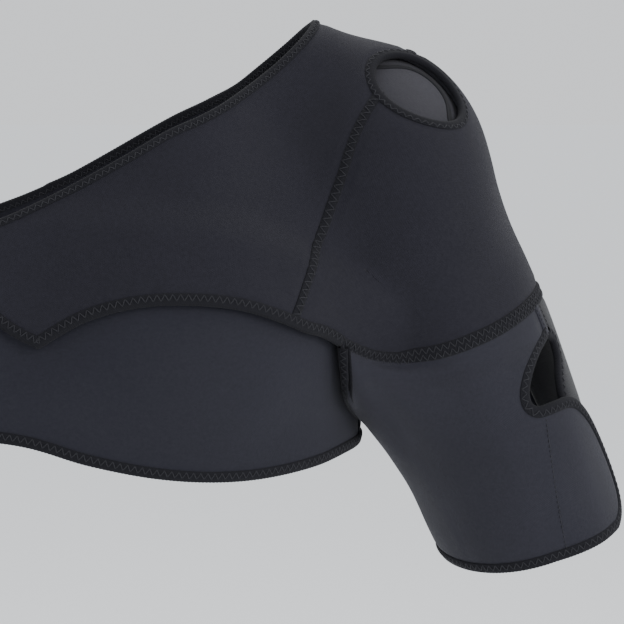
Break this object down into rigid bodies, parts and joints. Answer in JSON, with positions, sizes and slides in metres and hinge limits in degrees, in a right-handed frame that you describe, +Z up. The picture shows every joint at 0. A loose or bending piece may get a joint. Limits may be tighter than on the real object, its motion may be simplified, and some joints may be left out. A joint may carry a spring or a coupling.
{
  "type": "padded shoulder brace",
  "caption": "Padded fabric brace for one shoulder: a yoke with a stitched oval opening, a wrap round the chest and a sleeve round the upper arm, bound with zigzag-stitched tape.",
  "frame": {"origin": "on the wearer's form at the top of the braced shoulder, where the yoke rests", "axes": "+Z up, the wearer faces -Y, +X points to the wearer's left, the braced side"},
  "size_m": [0.4633, 0.2422, 0.2731],
  "materials": {
    "shoulder_cloth": "matt stretch knit over foam",
    "wrap_cloth": "matt stretch knit over foam",
    "sleeve_cloth": "matt stretch knit over foam",
    "binding": "folded knitted tape with zigzag stitches",
    "loop_pile": "brushed loop pile",
    "hook": "hook tape",
    "lining": "smooth lining cloth"
  },
  "bodies": {
    "root": {"yoke": "shoulder_cloth", "shoulder_panel": "shoulder_cloth", "chest_wrap": "wrap_cloth", "back_wrap": "wrap_cloth", "arm_sleeve": "sleeve_cloth", "loop_strip": "loop_pile", "inner_panel": "lining", "inner_tape": "hook", "wrap_hook_tape": "hook", "arm_hook_tape": "hook", "sleeve_seam_tape": "binding", "neck_binding": "binding", "front_edge_binding": "binding", "back_edge_binding": "binding", "opening_ring": "binding", "chest_wrap_binding": "binding", "back_wrap_binding": "binding", "sleeve_binding": "binding", "underarm_binding": "binding", "strip_opening_binding": "binding", "strip_hem_binding": "binding"}
  },
  "joints": []
}
